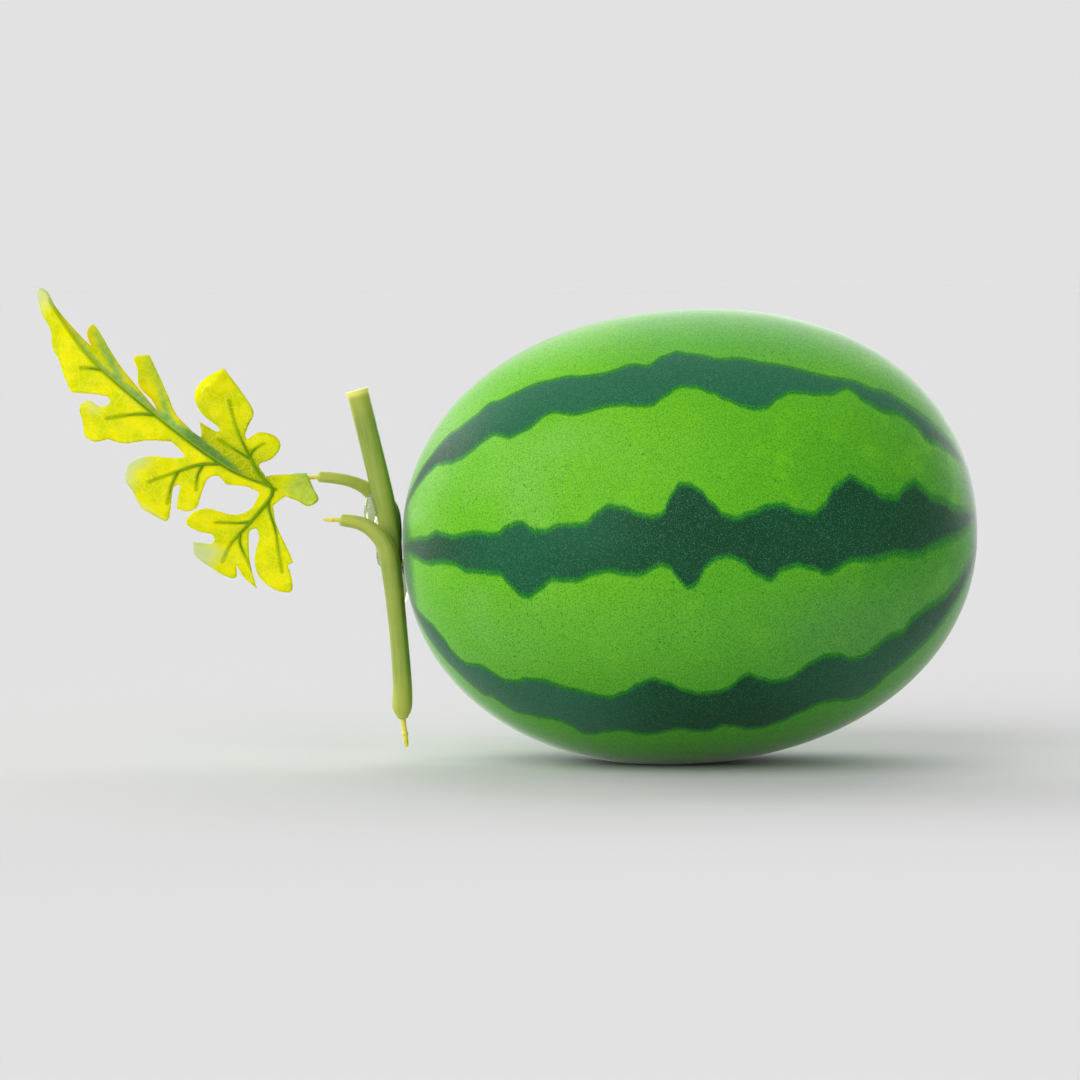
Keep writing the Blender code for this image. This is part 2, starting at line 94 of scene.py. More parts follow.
# Leaf, laid out flat: s along the midrib and c across it, millimetres; strokes end in sharp corners
LEAF_EDGE = [
    [(-5, 0), (-3.5, -6.5)],
    [(-3.5, -6.5), (-9.5, -12), (-20.5, -17), (-26, -20)],
    [(-26, -20), (-25, -22.5)],
    [(-25, -22.5), (-30.5, -26.5), (-33.5, -31), (-27.5, -35), (-18.5, -35), (-12, -30), (-8, -22)],
    [(-8, -22), (-5, -19.5), (-3, -21), (-4, -24.5), (-11.5, -33), (-21, -40)],
    [(-21, -40), (-13.5, -40), (-7.5, -38)],
    [(-7.5, -38), (-11, -43), (-5, -46), (4, -45.7), (9.8, -43), (13, -38)],
    [(13, -38), (6.5, -35.5), (8.5, -31.3), (14.3, -32), (20.7, -31), (21.2, -25), (16.8, -20.2),
     (7, -18.7), (3, -13), (4.5, -4.5)],
    [(4.5, -4.5), (11, -4), (18, -6.5)],
    [(18, -6.5), (23, -5), (25.5, -8.5), (23.5, -16), (21.5, -22), (23.5, -26), (28, -27.5)],
    [(28, -27.5), (30.5, -23), (33, -18), (34.5, -21), (29.5, -30), (28, -35), (34.5, -36.3)],
    [(34.5, -36.3), (40, -36.7), (47, -33.2), (53, -30.8), (56, -24), (52, -16.5), (43, -10), (39.5, -6.5),
     (43, -5), (48, -4.5)],
    [(48, -4.5), (56, -10.5), (63, -18), (70, -21.5)],
    [(70, -21.5), (73.5, -26), (78.5, -27), (83, -23), (88, -19), (87, -14), (81.5, -12.5), (79, -9),
     (81.5, -7), (88, -11), (95, -16.5)],
    [(95, -16.5), (101, -14.5), (108, -11.5)],
    [(108, -11.5), (114, -10.5), (119, -7), (128, -6), (134.5, -1.5), (131, 1.2), (124, 0.8), (112, 2),
     (101, 3.5)],
    [(101, 3.5), (106.5, 5.5), (107, 9.4), (99, 9), (86, 6.2), (72, 3.9), (60.5, 1.9)],
    [(60.5, 1.9), (66, 4.1), (74, 5), (79.5, 9.5), (84.5, 12.5), (80.5, 17)],
    [(80.5, 17), (70, 12.8), (62, 9.3), (54, 6), (43.5, 4.4)],
    [(43.5, 4.4), (39.5, 5), (44, 9.5)],
    [(44, 9.5), (36, 10.5), (36.5, 12.5), (46, 13), (54, 17.5), (55, 25), (51.5, 33.5)],
    [(51.5, 33.5), (40, 30.5), (29.5, 26.5), (27, 20), (25.5, 16)],
    [(25.5, 16), (23.5, 15.5), (21.5, 20.5), (15.5, 22), (10.5, 18.5), (10, 12), (12.5, 7.5), (7, 3.5)],
    [(7, 3.5), (4, 6), (-7, 13)],
    [(-7, 13), (-12.5, 10.5), (-17, 8.5), (-15.5, 3.5), (-10, 1.8), (-5, 0)],
]
MIDRIB_BOW = [(-40, 0), (-20, 0), (0, 0), (20, -6), (45, -8.2), (75, -8.8), (97, -8), (115, -4), (135, 2)]
LEAF_BASE = Vector((-168.6, -2.0, 118.5)) * MM
LEAF_RISE = math.radians(40.1)
STRIP_WIDTH = [(12, 0.3), (24, 3.0), (40, 4.5), (50, 3.0), (70, 2.6), (86, 1.4), (105, 0.9), (125, 0.5)]
# painted sheen along the far lobes' outer edges
SHEEN_STREAKS = [  # green by a far lobe's outer edge: (s, c, strength)
    [(53.5, 2.2, 0.9), (61.6, 6.3, 0.8), (69, 10.8, 0.40), (80.2, 15.8, 0.30)],
    [(82, 2.4, 0.9), (93, 5.9, 0.9), (104, 8.4, 0.45)],
]
CLOTH_THICKNESS = 0.3 * MM
CLOTH_GRID = 1.2  # millimetres between the points of the cloth
EDGE_CLEARANCE = 0.45  # grid spacings between those points and the outline
NEAR_SLOPE = 0.30
FAR_SLOPES = [(-20, 0.0), (0, 0.0), (14, 0.3), (50, 0.45), (62, 1.6), (135, 1.6)]
FOLD_SOFTNESS = 1.5
MIDRIB_ARCH = 7.0
ARCH_LENGTH = 130  # millimetres of the midrib that arch forwards
LOBE_CURL = 0.006

# Moulded ribs: (s, c) routes, and the radius in millimetres at the start and the end. The midrib is first
RIBS = [
    ([(0, 0), (30, 0), (60, 0), (95, 0), (128, 0)], 1.0, 0.5),
    ([(1.5, 0), (-0.5, -5), (-0.5, -20), (0, -31), (-2, -41)], 0.9, 0.5),
    ([(-0.5, -5.5), (-4, -9.5), (-12, -15), (-25, -26.5)], 0.7, 0.4),
    ([(0, -25), (-4, -30), (-14.5, -35)], 0.6, 0.4),
    ([(-0.5, -18), (3.5, -21.5), (11, -25)], 0.6, 0.4),
    ([(26, 0), (32.5, -5.6), (38, -14), (44.5, -25)], 0.8, 0.4),
    ([(31, -3.5), (30, -9.5), (26.5, -15.5)], 0.6, 0.4),
    ([(37.5, -13), (36, -20), (32.5, -28)], 0.6, 0.4),
    ([(61, 0), (67, -4.5), (76, -14.5)], 0.7, 0.4),
    ([(91, 0), (94, -2), (98.5, -6)], 0.6, 0.4),
    ([(2, 0), (9, 3), (20, 10.4), (31, 17), (40.5, 24)], 0.8, 0.4),
    ([(18, 9.2), (18.5, 12), (17, 17)], 0.6, 0.4),
    ([(16, 8), (22, 8.6), (33, 8.4)], 0.6, 0.4),
]
RIB_SLIMNESS = 1.0
MIDRIB_SLIMNESS = 0.55
RIB_POINTS = 9  # round the half-round section
RIB_WIDTH = 0.8  # half width, seat and height, shares of the radius
RIB_SEAT = 0.25
RIB_HEIGHT = 0.95
RIB_SINK = 0.1 * MM  # how far a rib sinks into the cloth
PALE_END_FROM = 0.55  # share of a rib's length where it starts to pale
PALE_END_OVER = 0.45

# Stripes round the front. 0 degrees looks to -Y and 90 up. An edge is (place along the axis from -1 at
# the stem to 1, degrees), and each stripe has an edge above and one below.
UPPER_STRIPE = (
    [(-1, 75), (-0.97, 66), (-0.93, 60.5), (-0.85, 58.5), (-0.8, 58.5), (-0.76, 56.5), (-0.7, 56),
     (-0.65, 57.5), (-0.6, 55.5), (-0.5, 55.5), (-0.4, 54), (-0.3, 51.5), (-0.25, 51), (-0.15, 52.5),
     (-0.1, 51), (-0.05, 54), (0, 55.5), (0.05, 54), (0.15, 51.5), (0.2, 52), (0.3, 50.5), (0.5, 48.5),
     (0.6, 49.5), (0.65, 48.5), (0.7, 50), (0.78, 49), (0.85, 48), (1, 48)],
    [(-1, 68), (-0.97, 58), (-0.93, 53), (-0.9, 50.5), (-0.85, 48.5), (-0.82, 45), (-0.79, 42), (-0.75, 41),
     (-0.65, 43), (-0.58, 39), (-0.53, 39.5), (-0.45, 42.5), (-0.35, 39.5), (-0.25, 40), (-0.2, 39.5),
     (-0.15, 38.5), (-0.1, 38), (-0.06, 40.5), (0, 43), (0.05, 42.5), (0.1, 40.5), (0.15, 38), (0.2, 36),
     (0.24, 35), (0.28, 35.5), (0.33, 39), (0.37, 41), (0.45, 41), (0.5, 42), (0.57, 46), (0.62, 42.5),
     (0.68, 40.5), (0.74, 42.5), (0.78, 41), (0.83, 36), (0.88, 38), (1, 41)])
MIDDLE_STRIPE = (
    [(-1, 34), (-0.97, 22), (-0.94, 17), (-0.9, 14.5), (-0.87, 15.5), (-0.84, 13), (-0.81, 11), (-0.75, 11),
     (-0.66, 9), (-0.62, 11), (-0.58, 11.5), (-0.53, 8.5), (-0.5, 8), (-0.45, 9), (-0.36, 8.5), (-0.32, 11),
     (-0.28, 12.5), (-0.23, 11.5), (-0.18, 9.5), (-0.14, 8.5), (-0.1, 9), (-0.07, 13), (-0.04, 16),
     (0, 15.5), (0.03, 14), (0.06, 11), (0.1, 7.5), (0.14, 6.5), (0.2, 7.5), (0.25, 9), (0.3, 9), (0.35, 7),
     (0.4, 6), (0.44, 8), (0.48, 13), (0.54, 16), (0.6, 13), (0.64, 10), (0.69, 9.5), (0.73, 13.5),
     (0.76, 15.5), (0.79, 13), (0.82, 9.5), (0.86, 9), (0.9, 5), (1, 4)],
    [(-1, 22), (-0.98, 12), (-0.95, 6), (-0.92, 2.5), (-0.9, 1.5), (-0.86, 2), (-0.82, 1), (-0.77, -2),
     (-0.66, -3), (-0.63, -6.5), (-0.6, -9.5), (-0.57, -10), (-0.53, -7.5), (-0.49, -5), (-0.44, -5.5),
     (-0.4, -5.5), (-0.35, -4), (-0.3, -3.5), (-0.25, -4.5), (-0.2, -5), (-0.12, -3), (-0.09, -4),
     (-0.06, -8), (-0.03, -9.5), (0, -7.5), (0.03, -4), (0.07, -2.5), (0.11, -2.5), (0.15, -4), (0.19, -7.5),
     (0.24, -9.5), (0.28, -7), (0.33, -6.5), (0.38, -8), (0.43, -10), (0.52, -7.5), (0.6, -8.5), (0.66, -8),
     (0.76, -10.5), (0.82, -9), (0.93, -9), (1, -8)])
LOWER_STRIPE = (
    [(-1, -46), (-0.97, -40), (-0.94, -37), (-0.91, -35.5), (-0.88, -38), (-0.85, -42.5), (-0.82, -44),
     (-0.75, -40), (-0.68, -42), (-0.64, -40.5), (-0.6, -38), (-0.55, -37), (-0.46, -38.5), (-0.33, -40),
     (-0.28, -38), (-0.23, -35), (-0.18, -33.5), (-0.13, -35), (-0.08, -37.5), (-0.03, -39), (0.03, -39),
     (0.08, -38), (0.11, -35.5), (0.14, -34.5), (0.18, -36.5), (0.23, -38.5), (0.27, -38.5), (0.36, -35),
     (0.4, -34), (0.45, -35), (0.5, -38.5), (0.54, -39), (0.63, -36), (0.68, -37), (0.72, -34),
     (0.77, -33.5), (0.84, -35), (0.95, -33), (1, -33)],
    [(-1, -48), (-0.97, -50), (-0.93, -52.5), (-0.86, -54), (-0.76, -57), (-0.73, -55), (-0.65, -57),
     (-0.6, -55), (-0.51, -53), (-0.47, -54.5), (-0.43, -57.5), (-0.4, -57), (-0.36, -54.5), (-0.3, -53),
     (-0.22, -54.5), (-0.1, -52), (-0.05, -53.5), (0, -54), (0.04, -52), (0.08, -53), (0.13, -55.5),
     (0.18, -56), (0.24, -55), (0.31, -53), (0.38, -51.5), (0.43, -52.5), (0.48, -55.5), (0.52, -57),
     (0.57, -56), (0.63, -52.5), (0.77, -50), (0.83, -48.5), (0.9, -46), (1, -44)])
BACK_STRIPES = [104, 156, 208, 259]  # middles of the stripes behind, degrees
BACK_START = [(-1, 5), (-0.93, 6)]  # their half widths near the stem: (place, degrees)
BACK_END = [(0.94, 6), (1, 6)]  # and at the other end
BACK_FROM = -0.86  # uneven edges between these two places
BACK_TO = 0.88
BACK_STEP = (0.04, 0.15)  # from one point of an uneven edge to the next
TOOTH_CHANCE = 0.35  # how often such a point is the tip of a tooth
TOOTH_HALF = (9.5, 13.5)  # half widths of a back stripe at a tooth, degrees
PLAIN_HALF = (5.5, 8.5)  # and elsewhere
STRIPE_END = 0.985  # stripes run into each other beyond this
END_DEPTH = 60  # millimetres of depth for each whole place beyond it
EDGE_SAMPLES = 321

# Angles above which a piece's edges stay sharp, degrees
FRUIT_CREASE = 40
PLASTIC_CREASE = 50
RIB_CREASE = 60
NO_CREASE = 180


# ------------------------------------------------------------------ camera, light and floor
VIEW_TARGET = Vector((-0.0539, 0.0, 0.0965))
VIEW_WIDTH = 0.4696  # metres across the picture at the object
VIEW_DISTANCE = 2.2
VIEW_ELEVATION = math.radians(3.0)
SENSOR = 36.0
CLIP_START = 0.05
CLIP_END = 200
SOFTBOXES = [  # name, direction from the fruit, strength, width in degrees
    ("key_softbox", (-0.75, -1.0, 0.85), 2.1, 60),
    ("fill_softbox", (1.0, -0.5, 0.8), 0.2, 60),
    ("rim_left", (-1.0, 0.75, 0.30), 1.9, 40),
    ("rim_right", (0.8, 1.2, 0.08), 0.75, 40),
    ("rim_top", (0.1, 1.0, 0.95), 0.95, 50),
]
SOFTBOX_DISTANCE = 3
PALE = 0.76  # brightness of the backdrop
FRONT_LIGHT = 0.22  # and of the room on the camera's side
ROOM_FRONT = -0.25  # the room brightens between these two Y of a direction
ROOM_BACK = 0.75
FLOOR_TONE = 0.636
FLOOR_SIZE = 80


def add_camera():
    data = bpy.data.cameras.new("camera")
    data.sensor_width = SENSOR
    data.lens = SENSOR * VIEW_DISTANCE / VIEW_WIDTH
    data.clip_start = CLIP_START
    data.clip_end = CLIP_END
    camera = bpy.data.objects.new("camera", data)
    back = Vector((0, -math.cos(VIEW_ELEVATION), math.sin(VIEW_ELEVATION)))
    camera.location = VIEW_TARGET + back * VIEW_DISTANCE
    camera.rotation_euler = (math.pi / 2 - VIEW_ELEVATION, 0, 0)
    bpy.context.scene.collection.objects.link(camera)
    bpy.context.scene.camera = camera


def add_softbox(name, towards, strength, width):
    """A big softbox far away, in the given direction from the fruit."""
    data = bpy.data.lights.new(name, "SUN")
    data.energy = strength
    data.angle = math.radians(width)
    lamp = bpy.data.objects.new(name, data)
    lamp.location = Vector(towards) * SOFTBOX_DISTANCE
    lamp.rotation_euler = (-Vector(towards)).to_track_quat("-Z", "Y").to_euler()
    bpy.context.scene.collection.objects.link(lamp)


def add_lights():
    """Softboxes and a white room, which gives less light from the front but is seen equally pale."""
    for softbox in SOFTBOXES:
        add_softbox(*softbox)
    world = bpy.data.worlds.new("studio")
    world.use_nodes = True
    g = Graph(world.node_tree)
    axes = g.axes(g.node("ShaderNodeTexCoord").outputs["Generated"])
    background = world.node_tree.nodes["Background"]
    background.inputs["Color"].default_value = (1.0, 1.0, 1.0, 1)
    graded = g.ramp(axes["Y"], ROOM_FRONT, ROOM_BACK, FRONT_LIGHT, PALE)
    seen = g.math("MULTIPLY", g.node("ShaderNodeLightPath").outputs["Is Camera Ray"], PALE)
    g.link(g.math("MAXIMUM", graded, seen), background.inputs["Strength"])
    bpy.context.scene.world = world
    bpy.context.scene.view_settings.view_transform = "Standard"


def add_floor():
    bm = bmesh.new()
    bmesh.ops.create_grid(bm, x_segments=1, y_segments=1, size=FLOOR_SIZE)
    mesh = bpy.data.meshes.new("floor")
    bm.to_mesh(mesh)
    bm.free()
    floor = bpy.data.objects.new("floor", mesh)
    bpy.context.scene.collection.objects.link(floor)
    mat, _, shader = new_material("floor_paper")
    set_inputs(shader, {
        "Base Color": (FLOOR_TONE, FLOOR_TONE, FLOOR_TONE, 1),
        "Roughness": 1.0,
        "Specular IOR Level": 0.0,
    })
    mesh.materials.append(mat)


# ------------------------------------------------------------------ node helpers
def new_material(name):
    mat = bpy.data.materials.new(name)
    mat.use_nodes = True
    return mat, Graph(mat.node_tree), mat.node_tree.nodes["Principled BSDF"]


def set_inputs(node, values):
    """Sets plain numbers and colours on the node's own sockets."""
    for socket, value in values.items():
        node.inputs[socket].default_value = value


class Graph:
    """Short calls for building a node tree."""

    def __init__(self, tree):
        self.tree = tree

    def node(self, kind, **settings):
        node = self.tree.nodes.new(kind)
        for key, value in settings.items():
            setattr(node, key, value)
        return node

    def link(self, source, target):
        self.tree.links.new(source, target)

    def feed(self, socket, value):
        if isinstance(value, bpy.types.NodeSocket):
            self.link(value, socket)
        else:
            socket.default_value = value

    def math(self, operation, *values):
        node = self.node("ShaderNodeMath", operation=operation)
        for socket, value in zip(node.inputs, values):
            self.feed(socket, value)
        return node.outputs[0]

    def attribute(self, name, output="Fac"):
        return self.node("ShaderNodeAttribute", attribute_name=name).outputs[output]

    def position(self):
        return self.node("ShaderNodeTexCoord").outputs["Object"]

    def axes(self, vector):
        node = self.node("ShaderNodeSeparateXYZ")
        self.link(vector, node.inputs[0])
        return node.outputs

    def noise(self, vector, scale, detail, rough=0.55):
        node = self.node("ShaderNodeTexNoise")
        self.link(vector, node.inputs["Vector"])
        set_inputs(node, {"Scale": scale, "Detail": detail, "Roughness": rough})
        return node.outputs["Fac"]

    def voronoi(self, vector, scale, feature):
        node = self.node("ShaderNodeTexVoronoi", feature=feature)
        self.link(vector, node.inputs["Vector"])
        node.inputs["Scale"].default_value = scale
        return node.outputs

    def red(self, colour):
        node = self.node("ShaderNodeSeparateColor")
        self.link(colour, node.inputs["Color"])
        return node.outputs["Red"]

    def ramp(self, value, low, high, to_low=0.0, to_high=1.0, kind="SMOOTHSTEP"):
        node = self.node("ShaderNodeMapRange", interpolation_type=kind)
        self.feed(node.inputs["Value"], value)
        set_inputs(node, {"From Min": low, "From Max": high, "To Min": to_low, "To Max": to_high})
        return node.outputs["Result"]

    def mix(self, factor, first, second):
        node = self.node("ShaderNodeMix", data_type="RGBA")
        self.feed(node.inputs["Factor"], factor)
        self.feed(node.inputs[6], (*first, 1) if isinstance(first, tuple) else first)
        self.feed(node.inputs[7], (*second, 1) if isinstance(second, tuple) else second)
        return node.outputs[2]

    def bump(self, height, distance, strength, normal=None):
        node = self.node("ShaderNodeBump")
        self.link(height, node.inputs["Height"])
        set_inputs(node, {"Distance": distance, "Strength": strength})
        if normal is not None:
            self.link(normal, node.inputs["Normal"])
        return node.outputs["Normal"]


# ------------------------------------------------------------------ colours
LEAF_GREEN = (0.098, 0.455, 0.010)  # the fruit's pale bands
YELLOW_GREEN = (0.152, 0.545, 0.008)
# partly the skin's own tone, partly painted shade away from the stem
DEEP_GREEN_AND_SHADE = (0.048, 0.335, 0.014)
# painted sheen near the stem
BAND_SHEEN_NEAR_STEM = (0.230, 0.610, 0.085)
# painted sheen low at the right end
LOW_RIGHT_SHEEN = (0.110, 0.360, 0.085)
# painted sheen low down
LOW_SHEEN_GREEN = (0.115, 0.460, 0.065)
# painted shade on the top middle
TOP_SHADE_GREEN = (0.070, 0.385, 0.035)
RIPE_GREEN = (0.170, 0.600, 0.002)
# painted shade towards the floor
UNDER_SHADE_GREEN = (0.058, 0.355, 0.012)
SPECK_GREEN = (0.008, 0.180, 0.012)
GRAIN_GREEN = (0.005, 0.090, 0.004)
PALE_DUST = (0.300, 0.680, 0.060)
FRINGE_GREEN = (0.000, 0.215, 0.014)  # its stripes
STRIPE_GREEN = (0.002, 0.062, 0.022)
STRIPE_DEEP = (0.001, 0.050, 0.016)
# painted sheen on the stripes' tops
STRIPE_TOP_SHEEN = (0.012, 0.135, 0.060)
# painted highlight on the stripes towards the stem
STRIPE_STEM_HIGHLIGHT = (0.005, 0.108, 0.044)
# painted sheen on the stripes' lower ends
STRIPE_LOW_SHEEN = (0.024, 0.135, 0.072)
DUST = (0.090, 0.250, 0.175)
STEM_OLIVE = (0.180, 0.270, 0.040)  # vine
STEM_PALE = (0.330, 0.420, 0.065)
STEM_BLOTCH = (0.400, 0.450, 0.080)
STEM_FRESH = (0.620, 0.640, 0.080)
STEM_CUT = (0.960, 0.900, 0.230)
PEG_DEEP = (0.680, 0.640, 0.045)
PEG_YELLOW = (0.830, 0.760, 0.110)
GLUE_PALE = (0.62, 0.72, 0.44)
GLUE_DEEP = (0.46, 0.56, 0.28)
RIB_DEEP = (0.150, 0.300, 0.002)  # leaf
RIB_OLIVE = (0.240, 0.420, 0.004)
RIB_PALE_END = (0.620, 0.740, 0.004)
SLEEVE_GREEN = (0.400, 0.600, 0.170)
CLOTH_DEEP = (0.810, 0.860, 0.001)
CLOTH_YELLOW = (0.985, 0.950, 0.001)
# painted shade on the inner far lobe
CLOTH_SHADE = (0.420, 0.520, 0.004)
# painted sheen on the folded strip
STRIP_DEEP = (0.330, 0.600, 0.140)
STRIP_PALE = (0.440, 0.710, 0.230)
# painted shade on the folded strip
STRIP_SHADE = (0.190, 0.400, 0.090)
VEIN_YELLOW = (0.990, 0.970, 0.100)
RIB_SHADOW = (0.330, 0.480, 0.004)
# painted glow of light through the fold's edge
FOLD_GLOW_ORANGE = (0.980, 0.700, 0.020)
TIP_PALE = (0.800, 0.880, 0.560)

SPECKS = [  # scale, dot size, share of cells left bare, strength
    (1000, 0.42, 0.55, 0.45),
    (560, 0.32, 0.78, 0.75),
]


# ------------------------------------------------------------------ materials
def pale_bands(g, here, x, z, place):
    """The light skin: yellow green near the stem and deeper away from it, partly its own tone and partly
    painted shade, with riper patches. It has painted sheen near the stem, low down and low at the right
    end, and painted shade on the top middle and towards the floor."""
    # yellow green near the stem, deeper away from it: partly the skin's own tone, partly painted shade
    ground = g.mix(g.ramp(place, -0.06, 0.06), YELLOW_GREEN, LEAF_GREEN)
    ground = g.mix(g.ramp(place, 0.03, 0.13), ground, DEEP_GREEN_AND_SHADE)
    # painted sheen near the stem, in cloudy patches
    cloud = g.ramp(g.noise(here, 26, 3), 0.42, 0.66, 0, 0.55)
    haze = g.math("MULTIPLY", g.ramp(place, -0.03, -0.10), cloud)
    ground = g.mix(haze, ground, BAND_SHEEN_NEAR_STEM)
    ground = g.mix(g.ramp(g.noise(here, 55, 3, 0.6), 0.50, 0.70, 0, 0.45), ground, RIPE_GREEN)
    # painted sheen: paler low down
    low = g.ramp(z, 0.095, 0.060)
    ground = g.mix(g.math("MULTIPLY", low, 0.40), ground, LOW_SHEEN_GREEN)
    # painted shade on the top middle
    middle = g.math("MULTIPLY", g.ramp(x, -0.050, 0.0), g.ramp(x, 0.085, 0.045))
    top_shade = g.ramp(z, 0.155, 0.190, 0, 0.55)
    ground = g.mix(g.math("MULTIPLY", middle, top_shade), ground, TOP_SHADE_GREEN)
    # painted sheen low at the right end
    low_right_sheen = g.math("MULTIPLY", low, g.ramp(x, 0.030, 0.075))
    ground = g.mix(g.math("MULTIPLY", low_right_sheen, 0.55), ground, LOW_RIGHT_SHEEN)
    # painted shade, darker towards the floor
    return g.mix(g.ramp(g.attribute("under"), 0.0, 1.0), ground, UNDER_SHADE_GREEN)


def specks(g, here, ground):
    """Dark flecks of two sizes, in drifts."""
    drift = g.ramp(g.noise(here, 22, 3), 0.38, 0.62, 0.25, 1.0)
    for scale, size, bare, strength in SPECKS:
        cell = g.voronoi(here, scale, "F1")
        dot = g.ramp(cell["Distance"], size * 0.5, size, strength, 0)
        picked = g.math("GREATER_THAN", g.red(cell["Color"]), bare)
        ground = g.mix(g.math("MULTIPLY", g.math("MULTIPLY", dot, picked), drift), ground, SPECK_GREEN)
    return ground


def stripe_paint(g, here, x, z, place):
    """The dark stripes: painted sheen on top and at the lower ends, a painted highlight towards the stem,
    and painted shade again right at the stem end.
    """
    dark = g.mix(g.ramp(g.noise(here, 26, 2), 0.40, 0.62), STRIPE_GREEN, STRIPE_DEEP)
    # painted highlight towards the stem
    dark = g.mix(g.ramp(place, 0.0, -0.10), dark, STRIPE_STEM_HIGHLIGHT)
    # painted sheen on top
    dark = g.mix(g.ramp(z, 0.125, 0.165), dark, STRIPE_TOP_SHEEN)
    # painted shade at the stem end
    dark = g.mix(g.ramp(x, -0.070, -0.100, 0, 0.85), dark, STRIPE_DEEP)
    # painted sheen at the stripes' lower ends
    ends = g.math("MAXIMUM", g.ramp(x, 0.005, -0.050), g.ramp(x, 0.035, 0.085, 0, 0.7))
    return g.mix(g.math("MULTIPLY", g.ramp(z, 0.080, 0.045), ends), dark, STRIPE_LOW_SHEEN)


def fruit_skin():
    """Sprayed skin: pale bands and dark zigzag stripes with a thin bright fringe, under a sandy grain.
    The stripe attribute is the distance in from a stripe's edge in millimetres, and under, the strength of
    the painted shade near the floor, rises from 0 to 1 towards the floor."""
    mat, g, shader = new_material("fruit_skin")
    here = g.position()
    axes = g.axes(here)
    x = axes["X"]
    z = axes["Z"]
    place = g.math("ADD", x, g.ramp(g.noise(here, 9, 3), 0.3, 0.7, -0.05, 0.05, "LINEAR"))
    ground = specks(g, here, pale_bands(g, here, x, z, place))
    wobble = g.ramp(g.noise(here, 260, 3, 0.6), 0.25, 0.75, -0.25, 0.25, "LINEAR")
    crisp = g.ramp(x, 0.05, 0.12, 1.0, 0.6)
    depth = g.math("ADD", g.math("MULTIPLY", g.attribute("stripe"), crisp), wobble)
    core = g.ramp(depth, -0.5, 2.2)
    colour = g.mix(g.ramp(depth, -2.1, -0.4), ground, FRINGE_GREEN)
    colour = g.mix(core, colour, stripe_paint(g, here, x, z, place))
    # grain: pale, and stronger on the stripes, then dark all over
    grain = g.noise(here, 1900, 2, 0.8)
    on_stripe = g.math("MULTIPLY", g.ramp(grain, 0.52, 0.66), g.ramp(core, 0, 1, 0, 0.62))
    on_band = g.math("MULTIPLY", g.ramp(grain, 0.49, 0.62), g.ramp(core, 0, 1, 0.25, 0))
    colour = g.mix(on_stripe, colour, DUST)
    colour = g.mix(on_band, colour, PALE_DUST)
    colour = g.mix(g.ramp(grain, 0.38, 0.51, 0.46, 0), colour, GRAIN_GREEN)
    g.link(colour, shader.inputs["Base Color"])
    g.link(g.ramp(g.noise(here, 500, 3), 0.3, 0.7, 0.42, 0.54), shader.inputs["Roughness"])
    set_inputs(shader, {"Specular IOR Level": 0.15, "Sheen Weight": 0.90, "Sheen Roughness": 0.25})
    pebble = g.bump(grain, 0.00008, 0.5)
    g.link(g.bump(g.noise(here, 120, 3), 0.0003, 0.20, pebble), shader.inputs["Normal"])
    return mat


def stem_plastic():
    """Soft olive plastic with lengthwise mould lines. The sweep's attributes say where a point is: turn_x
    and turn_y round the piece, along in centimetres from its start, fresh and cut near its pale ends."""
    mat, g, shader = new_material("stem_plastic")
    here = g.position()
    lines = g.node("ShaderNodeCombineXYZ")
    g.feed(lines.inputs[0], g.attribute("turn_x"))
    g.feed(lines.inputs[1], g.attribute("turn_y"))
    g.feed(lines.inputs[2], g.math("MULTIPLY", g.attribute("along"), 0.12))
    streak = g.noise(lines.outputs[0], 1.6, 3, 0.5)
    blotch = g.noise(here, 90, 3)
    colour = g.mix(g.ramp(streak, 0.35, 0.65), STEM_OLIVE, STEM_PALE)
    colour = g.mix(g.ramp(blotch, 0.45, 0.75, 0, 0.5), colour, STEM_BLOTCH)
    colour = g.mix(g.attribute("fresh"), colour, STEM_FRESH)
    colour = g.mix(g.attribute("cut"), colour, STEM_CUT)
    g.link(colour, shader.inputs["Base Color"])
    g.link(g.ramp(blotch, 0.3, 0.7, 0.38, 0.52), shader.inputs["Roughness"])
    set_inputs(shader, {
        "Subsurface Weight": 0.25,
        "Subsurface Radius": (0.9, 1.0, 0.25),
        "Subsurface Scale": 0.0022,
        "Specular IOR Level": 0.45,
    })
    relief = g.bump(streak, 0.0004, 0.5)
    g.link(g.bump(g.noise(here, 700, 2), 0.00003, 0.3, relief), shader.inputs["Normal"])
    return mat


def peg_plastic():
    mat, g, shader = new_material("peg_plastic")
    here = g.position()
    tone = g.noise(here, 260, 3)
    g.link(g.mix(g.ramp(tone, 0.35, 0.70), PEG_DEEP, PEG_YELLOW), shader.inputs["Base Color"])
    g.link(g.ramp(tone, 0.3, 0.7, 0.30, 0.45), shader.inputs["Roughness"])
    set_inputs(shader, {
        "Subsurface Weight": 0.3,
        "Subsurface Radius": (1.0, 0.9, 0.2),
        "Subsurface Scale": 0.0015,
    })
    g.link(g.bump(g.noise(here, 1200, 2), 0.0001, 0.4), shader.inputs["Normal"])
    return mat


